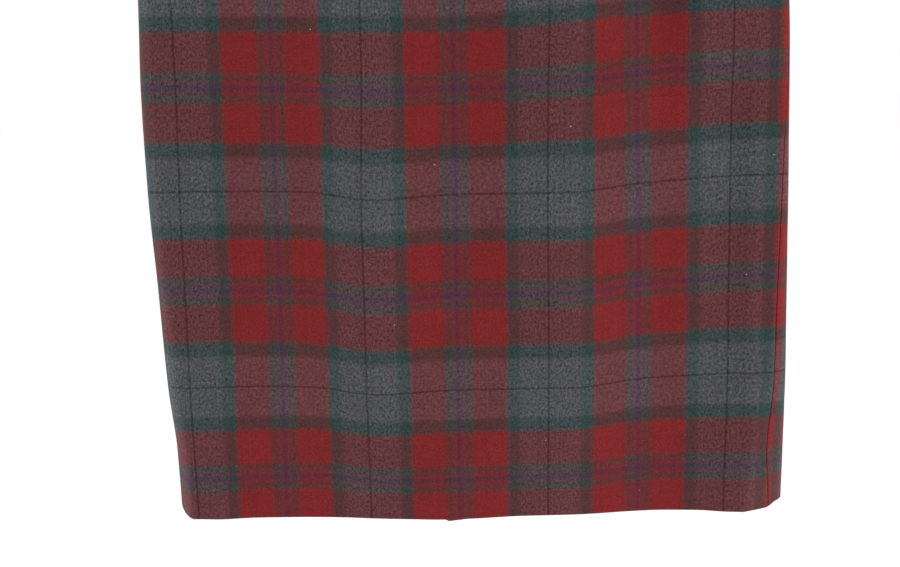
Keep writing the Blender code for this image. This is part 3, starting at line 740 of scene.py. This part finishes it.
# Sewing thread: dark wine polyester, three plies twisted together. A row shows it as short raised
# stitches, pulled a little into the cloth. Each stitch is a copy of one soft capsule.

THREAD_WIDTH = 0.5
THREAD_DEPTH = THREAD_WIDTH * 0.7
STITCH_LENGTH = 2.6
STITCH_STEP = 3.1
STITCH_STANDS = 0.05


def twisted_thread():
    """Low-gloss polyester thread, whose plies show as slanting ridges about 0.6 mm apart."""
    material, tree, shader = new_material("polyester_sewing_thread")
    place = add(tree, "ShaderNodeTexCoord")
    in_mm = add(tree, "ShaderNodeVectorMath", {0: place.outputs["Object"], "Scale": 1000}, operation="SCALE")
    plies = add(tree, "ShaderNodeTexWave", {
        "Vector": in_mm, "Scale": 0.6, "Distortion": 0.5,
    }, bands_direction="DIAGONAL")
    # Painted shade: the thread is darker in the grooves between its plies, where the bump is low, and lighter
    # on their ridges.
    colour = add(tree, "ShaderNodeMix", {
        "Factor": plies.outputs["Fac"], 6: linear("#2c1216"), 7: linear("#572a31"),
    }, data_type="RGBA")
    bump = add(tree, "ShaderNodeBump", {"Height": plies.outputs["Fac"], "Strength": 0.6, "Distance": 0.00008})
    feed(tree, shader, {
        "Base Color": colour.outputs[2], "Normal": bump, "Roughness": 0.6, "IOR": 1.57,
        "Specular IOR Level": 0.2,
    })
    return material


sewing_thread = twisted_thread()


def copies_of(master, name, places, material):
    """Joins copies of one small piece, each turned and moved by its own matrix, and removes it."""
    joined = bmesh.new()
    for place in places:
        first = len(joined.verts)
        joined.from_mesh(master.data)
        joined.verts.ensure_lookup_table()
        bmesh.ops.transform(joined, matrix=place, verts=joined.verts[first:])
    mesh = bpy.data.meshes.new(name)
    joined.to_mesh(mesh)
    joined.free()
    bpy.data.objects.remove(master)
    mesh.shade_smooth()
    mesh.set_sharp_from_angle(angle=math.radians(50))
    mesh.materials.append(material)
    made = bpy.data.objects.new(name, mesh)
    bpy.context.scene.collection.objects.link(made)
    return made


def seat(ring, cloth, out, down, turn=0.0):
    """A place on the cloth. Its own X runs round the tube, its Z up and its -Y out of the cloth."""
    (x, y), = ring.offset(cloth, out)
    (out_x, out_y), = ring.outward(np.atleast_1d(float(cloth)))
    outward = Vector((out_x, out_y, 0))
    upward = Vector((0, 0, 1))
    around = upward.cross(outward)
    frame_there = Matrix((around, -outward, upward)).transposed().to_4x4()
    return Matrix.Translation(Vector((x, y, -down)) * MM) @ frame_there @ Matrix.Rotation(turn, 4, "Y")


def drawn_out(size, bevel=0.0, segments=1):
    """Draws the new primitive, 1 mm wide, out to its size, and bevels its edges where asked."""
    made = bpy.context.object
    bpy.ops.object.mode_set(mode="EDIT")
    bpy.ops.mesh.select_all(action="SELECT")
    bpy.ops.transform.resize(value=size)
    if bevel:
        bpy.ops.mesh.bevel(offset=bevel * MM, segments=segments)
    bpy.ops.object.mode_set(mode="OBJECT")
    return made


def capsule(size):
    """One stitch of thread."""
    bpy.ops.object.select_all(action="DESELECT")
    bpy.ops.mesh.primitive_uv_sphere_add(segments=8, ring_count=6, radius=0.5 * MM)
    return drawn_out(size)


def stitch_row(name, start, end):
    """A row of stitches from one place to another, given as cloth from the centre back and down."""
    stitch = capsule((THREAD_WIDTH, THREAD_DEPTH, STITCH_LENGTH))
    start = Vector(start)
    run = Vector(end) - start
    count = max(1, round(run.length / STITCH_STEP))
    turn = math.atan2(run.x, -run.y)
    places = []
    for number in range(count):
        cloth, down = start + run * ((number + 0.5) / count)
        ring = Ring(down)
        places.append(seat(ring, ring.centre_back + cloth, STITCH_STANDS, down, turn))
    row = copies_of(stitch, name, places, sewing_thread)
    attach(row, "skirt")


# Topstitching holds the zip 8 mm to each side of its slit, with a bar across below it. A slanting
# row on the right panel holds the top of the vent's underlap.

TOPSTITCH_ASIDE = 10.0
TOPSTITCH_TOP = 33.5
TOPSTITCH_END = 214.0
TOPSTITCH_BAR = TOPSTITCH_END + 2
for name, start, end in (
    ("zip_topstitch_left", (-TOPSTITCH_ASIDE, TOPSTITCH_TOP), (-TOPSTITCH_ASIDE, TOPSTITCH_END)),
    ("zip_topstitch_right", (TOPSTITCH_ASIDE, TOPSTITCH_TOP), (TOPSTITCH_ASIDE, TOPSTITCH_END)),
    ("zip_topstitch_end", (-TOPSTITCH_ASIDE, TOPSTITCH_BAR), (TOPSTITCH_ASIDE, TOPSTITCH_BAR)),
    ("vent_top_stitch", (1.5, VENT_TOP - 4), (36.0, VENT_TOP + 14)),
):
    stitch_row(name, start, end)


# Inside, a slip stitch catches the turned-up hem all round, every 8 mm, and slants each way by turns.

CATCH_START = 6.0
CATCH_STEP = 8.0
CATCH_SLANT = 0.7
CATCH_LENGTH = STITCH_LENGTH * 1.4
CATCH_DEEP = CLOTH + 0.75
CATCH_DOWN = LENGTH - HEM_TURN_UP - 0.6
catch_ring = Ring(CATCH_DOWN)
catch_from = catch_ring.centre_back + VENT_LAP
catch = capsule((THREAD_WIDTH, THREAD_DEPTH, CATCH_LENGTH))
catch_places = []
for number, cloth in enumerate(np.arange(CATCH_START, catch_ring.round - VENT_LAP, CATCH_STEP)):
    slant = CATCH_SLANT if number % 2 else -CATCH_SLANT
    catch_places.append(seat(catch_ring, cloth + catch_from, -CATCH_DEEP, CATCH_DOWN, slant))
hem_stitches = copies_of(catch, "hem_catch_stitches", catch_places, sewing_thread)
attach(hem_stitches, "skirt")


# The zip's tape is woven polyester in two halves, each with a corded edge in the slit. It is sewn
# behind the back panels.

TAPE_HALF = 14.0
TAPE_WALL = 0.8
TAPE_TOP = BAND_HEIGHT + SEAM_GAP
TAPE_END = ZIP_BOTTOM + 10
TAPE_LEVELS = 62
# The corded edge of each half, and the thin web that joins it to the tape.
TAPE_BEAD = 0.75
BEAD_ASIDE = 1.2
WEB_WALL = 0.12
WEB_END = 2.0


def woven_tape():
    """Polyester herringbone tape. Its ribs are 0.5 mm apart and change their slant every 2.5 mm."""
    material, tree, shader = new_material("woven_polyester_tape")
    tape_map = add(tree, "ShaderNodeUVMap", uv_map="cloth")
    in_mm = add(tree, "ShaderNodeVectorMath", {0: tape_map, "Scale": 1000.0}, operation="SCALE")
    place = add(tree, "ShaderNodeSeparateXYZ", {0: in_mm})
    slant = add(tree, "ShaderNodeMath", {0: place.outputs["X"], 1: 2.5}, operation="PINGPONG")
    along = add(tree, "ShaderNodeMath", {0: place.outputs["Y"], 1: slant}, operation="ADD")
    turned = add(tree, "ShaderNodeMath", {0: along, 1: 2 * math.pi / 0.7}, operation="MULTIPLY")
    wave = add(tree, "ShaderNodeMath", {0: turned}, operation="SINE")
    rib = add(tree, "ShaderNodeMapRange", {"Value": wave, "From Min": -1.0})
    fuzz = add(tree, "ShaderNodeTexNoise", {
        "Vector": in_mm, "Scale": 1.5, "Detail": 2.0,
    }, noise_dimensions="2D")
    height = add(tree, "ShaderNodeMath", {0: fuzz.outputs["Fac"], 1: 0.5, 2: rib}, operation="MULTIPLY_ADD")
    # Painted shade: the tape is darker in the hollows between its ribs, where the bump is low, and its fuzz
    # varies the tone at random.
    share = add(tree, "ShaderNodeMath", {0: height, 1: 1.5}, operation="DIVIDE")
    colour = add(tree, "ShaderNodeMix", {
        "Factor": share, 6: linear("#28141a"), 7: linear("#4a262d"),
    }, data_type="RGBA")
    bump = add(tree, "ShaderNodeBump", {"Height": height, "Strength": 0.6, "Distance": 0.00012})
    feed(tree, shader, {
        "Base Color": colour.outputs[2], "Normal": bump, "Roughness": 0.7, "IOR": 1.57,
        "Sheen Weight": 0.15,
    })
    return material


across_half = np.array([0.45, 0.7, 1.2, 1.7, 2.0, 2.4, 4.0, 7.0, 10.0, 12.5, 13.7, TAPE_HALF])
tape_across = np.concatenate([-across_half[::-1], across_half])
bead = TAPE_BEAD * np.sqrt(np.clip(1 - ((np.abs(tape_across) - BEAD_ASIDE) / TAPE_BEAD) ** 2, 0, 1))
tape_rows = np.linspace(TAPE_TOP, TAPE_END, TAPE_LEVELS)
tape_outer = np.zeros((len(tape_rows), len(tape_across), 3))
tape_inner = tape_outer.copy()
tape_middle = -CLOTH - SEAM_GAP - TAPE_WALL / 2
half_wall = np.maximum(bead, np.where(np.abs(tape_across) < WEB_END, WEB_WALL, TAPE_WALL / 2))
for number, down in enumerate(tape_rows):
    ring = Ring(down)
    tape_outer[number, :, :2] = ring.offset(ring.centre_back + tape_across, tape_middle + half_wall)
    tape_inner[number, :, :2] = ring.offset(ring.centre_back + tape_across, tape_middle - half_wall)
    tape_outer[number, :, 2] = tape_inner[number, :, 2] = -down
tape_place = np.dstack(np.meshgrid(tape_across, tape_rows)) * MM
two_halves = np.ones((len(tape_rows) - 1, len(tape_across) - 1), bool)
two_halves[:, len(across_half) - 1] = False
tape = sheet_mesh("zip_tape_cloth", woven_tape(), tape_outer, tape_inner, tape_place, two_halves)
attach(tape, "skirt")
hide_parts("zip_tape")


# The zip's teeth are stamped brass with a dark antique finish. Those of one side clamp its corded
# edge and reach between those of the other. A staple stops the slider at the bottom.

TEETH_TOP = TAPE_TOP + 1.2
TEETH_END = ZIP_BOTTOM - 5
TOOTH_PITCH = 1.1
TOOTH_SIZE = (2.7, 1.5, 0.8)
TOOTH_ASIDE = 0.62
TOOTH_OUT = -0.8
TOOTH_BEVEL = 0.2
STOP_SIZE = (4.2, 1.9, 3.0)
STOP_BEVEL = 0.45
STOP_DOWN = TEETH_END + 1.6
STOP_OUT = TOOTH_OUT - 0.2


def antique_brass():
    """Brass, dipped dark and rubbed: brown in its hollows, with yellow metal where it has worn."""
    material, tree, shader = new_material("antiqued_brass")
    place = add(tree, "ShaderNodeTexCoord")
    in_mm = add(tree, "ShaderNodeVectorMath", {0: place.outputs["Object"], "Scale": 1000}, operation="SCALE")
    tarnish = add(tree, "ShaderNodeTexNoise", {
        "Vector": in_mm, "Scale": 0.25, "Detail": 3.0, "Roughness": 0.5,
    })
    scuffs = add(tree, "ShaderNodeTexNoise", {"Vector": in_mm, "Scale": 3.0, "Detail": 3.0, "Roughness": 0.7})
    both = add(tree, "ShaderNodeMath", {
        0: scuffs.outputs["Fac"], 1: 0.5, 2: tarnish.outputs["Fac"],
    }, operation="MULTIPLY_ADD")
    worn = add(tree, "ShaderNodeMapRange", {"Value": both, "From Min": 0.6, "From Max": 1.1})
    colour = add(tree, "ShaderNodeMix", {
        "Factor": worn, 6: linear("#4a3f35"), 7: linear("#8a7655"),
    }, data_type="RGBA")
    gloss = add(tree, "ShaderNodeMapRange", {"Value": worn, "To Min": 0.5, "To Max": 0.28})
    bump = add(tree, "ShaderNodeBump", {
        "Height": scuffs.outputs["Fac"], "Strength": 0.25, "Distance": 0.00005,
    })
    feed(tree, shader, {
        "Base Color": colour.outputs[2], "Normal": bump, "Roughness": gloss, "Metallic": 1.0,
    })
    return material


brass = antique_brass()


def stamped_block(size, bevel, segments):
    """A small block of metal with bevelled edges."""
    bpy.ops.object.select_all(action="DESELECT")
    bpy.ops.mesh.primitive_cube_add(size=MM)
    return drawn_out(size, bevel, segments)


tooth = stamped_block(TOOTH_SIZE, TOOTH_BEVEL, 1)
teeth_places = []
for number, down in enumerate(np.arange(TEETH_TOP, TEETH_END, TOOTH_PITCH)):
    ring = Ring(down)
    side = 1 if number % 2 else -1
    teeth_places.append(seat(ring, ring.centre_back + side * TOOTH_ASIDE, TOOTH_OUT, down))
teeth = copies_of(tooth, "zip_teeth", teeth_places, brass)
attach(teeth, "skirt")

staple = stamped_block(STOP_SIZE, STOP_BEVEL, 3)
ring = Ring(STOP_DOWN)
stop_place = seat(ring, ring.centre_back, STOP_OUT, STOP_DOWN)
stop = copies_of(staple, "zip_bottom_stop", [stop_place], brass)
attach(stop, "skirt")

# The slider and its pull tab keep their CAD form and are finished in the same brass.
for name in ("zip_slider", "zip_pull"):
    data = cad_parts[name].data
    data.materials.clear()
    data.materials.append(brass)


# The button is cast resin that imitates horn: dark, with paler streaks in its depth. Four holes
# take two bars of thread. Its buttonhole is worked in the same thread.

def cast_resin():
    """Polyester resin, tumbled to a satin gloss, with soft streaks about 1.5 mm apart."""
    material, tree, shader = new_material("tumbled_casting_resin")
    place = add(tree, "ShaderNodeTexCoord")
    in_mm = add(tree, "ShaderNodeVectorMath", {0: place.outputs["Object"], "Scale": 1000}, operation="SCALE")
    streaks = add(tree, "ShaderNodeTexWave", {
        "Vector": in_mm, "Scale": 0.2, "Distortion": 5.0, "Detail": 3.0, "Detail Scale": 0.6,
    }, bands_direction="X")
    colour = add(tree, "ShaderNodeMix", {
        "Factor": streaks.outputs["Fac"], 6: linear("#2a1315"), 7: linear("#532d2a"),
    }, data_type="RGBA")
    rubbed = add(tree, "ShaderNodeTexNoise", {"Vector": in_mm, "Scale": 1.2, "Detail": 3.0})
    gloss = add(tree, "ShaderNodeMapRange", {"Value": rubbed.outputs["Fac"], "To Min": 0.22, "To Max": 0.42})
    bump = add(tree, "ShaderNodeBump", {
        "Height": rubbed.outputs["Fac"], "Strength": 0.15, "Distance": 0.00005,
    })
    feed(tree, shader, {
        "Base Color": colour.outputs[2], "Normal": bump, "Roughness": gloss, "IOR": 1.55,
    })
    return material


button_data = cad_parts["waist_button"].data
button_data.materials.clear()
button_data.materials.append(cast_resin())

BUTTON_FROM_SEAM = 13.0
BUTTON_HOLES = 1.35
BUTTON_THICKNESS = 2.2
BUTTON_DISH = 0.7
BUTTON_FACE = BAND_PROUD + SEAM_GAP + BUTTON_THICKNESS - BUTTON_DISH
STRAND = 0.16
STRAND_FLAT = 0.55
STRAND_OUT = BUTTON_FACE - 0.1
button_ring = Ring(BAND_HEIGHT / 2)
button_cloth = button_ring.centre_back + BUTTON_FROM_SEAM
bpy.ops.object.select_all(action="DESELECT")
bpy.ops.mesh.primitive_torus_add(
    major_radius=BUTTON_HOLES * MM, minor_radius=STRAND * MM, major_segments=28, minor_segments=8,
)
strand = bpy.context.object
# Each strand is flattened on the button's face, and its ends run down through two holes.
for vert in strand.data.vertices:
    if vert.co.y > 0.1 * MM:
        vert.co.y += BUTTON_THICKNESS * MM
    elif vert.co.y < -0.5 * MM:
        vert.co.y *= STRAND_FLAT
strands = []
for up in (-BUTTON_HOLES, BUTTON_HOLES):
    for aside, tilt in ((-0.3, 0.1), (0.0, -0.06), (0.3, 0.05)):
        at = seat(button_ring, button_cloth, STRAND_OUT, BAND_HEIGHT / 2 - up - aside)
        strands.append(at @ Matrix.Rotation(tilt, 4, "Y"))
button_thread = copies_of(strand, "button_thread", strands, sewing_thread)
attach(button_thread, "skirt")

HOLE_LENGTH = 9.0
PURL_SIZE = (0.42, 0.34, 1.3)
PURL_COUNT = 24
PURL_ASIDE = 0.75
PURL_OUT = BAND_PROUD + 0.08
BAR_COUNT = 6
BAR_STEP = 0.44
BAR_HALF = 1.1
BAR_OUT = BAND_PROUD + 0.12
purl = capsule(PURL_SIZE)
purls = []
for number in range(PURL_COUNT):
    along = button_cloth - HOLE_LENGTH * (number + 0.5) / PURL_COUNT
    for up in (-PURL_ASIDE, PURL_ASIDE):
        purls.append(seat(button_ring, along, PURL_OUT, BAND_HEIGHT / 2 - up))
bar = button_cloth - HOLE_LENGTH - 0.3
for number in range(BAR_COUNT):
    down = BAND_HEIGHT / 2 - BAR_HALF + BAR_STEP * number
    purls.append(seat(button_ring, bar, BAR_OUT, down, math.pi / 2))
buttonhole = copies_of(purl, "buttonhole_stitches", purls, sewing_thread)
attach(buttonhole, "skirt")


# Studio: a pale floor below the hanging skirt and an even white surround, with a soft light low on
# the right and a weaker one level with the skirt on the left. The camera stands a metre in front
# and looks down.

FLOOR_LEVEL = -1.5
CAMERA_PLACE = (-0.010, -0.996, -0.2746)
CAMERA_PITCH = math.radians(10.9)
CAMERA_ROLL = math.radians(1.25)

floor_material, floor_tree, floor_shader = new_material("pale_floor_paint")
feed(floor_tree, floor_shader, {"Base Color": linear("#ffffff"), "Roughness": 0.8})
bpy.ops.object.select_all(action="DESELECT")
bpy.ops.mesh.primitive_plane_add(size=40, location=(0, 0, FLOOR_LEVEL))
floor = bpy.context.object
floor.name = "floor"
floor.data.materials.append(floor_material)

world = bpy.data.worlds.new("white_surround")
world.use_nodes = True
feed(world.node_tree, world.node_tree.nodes["Background"], {"Color": (1, 1, 1, 1), "Strength": 1.0})
bpy.context.scene.world = world

for name, place, target, size, watts in (
    ("soft_side_light", (1.9, -0.65, -0.9), (0, 0, -0.4), 1.2, 42),
    ("soft_rim_light", (-1.4, -0.05, -0.3), (-0.2, 0, -0.4), 0.8, 24),
):
    bpy.ops.object.light_add(type="AREA", location=place)
    light = bpy.context.object
    light.name = name
    light.data.shape = "SQUARE"
    light.data.size = size
    light.data.energy = watts
    light.rotation_euler = (Vector(target) - light.location).to_track_quat("-Z", "Y").to_euler()

bpy.ops.object.camera_add()
camera = bpy.context.object
camera.name = "camera"
camera.data.lens = 55
camera.data.sensor_width = 36
tilt = Matrix.Rotation(math.pi / 2 - CAMERA_PITCH, 4, "X")
roll = Matrix.Rotation(-CAMERA_ROLL, 4, "Z")
camera.matrix_world = Matrix.Translation(CAMERA_PLACE) @ tilt @ roll
bpy.context.scene.camera = camera
bpy.context.scene.view_settings.view_transform = "Standard"
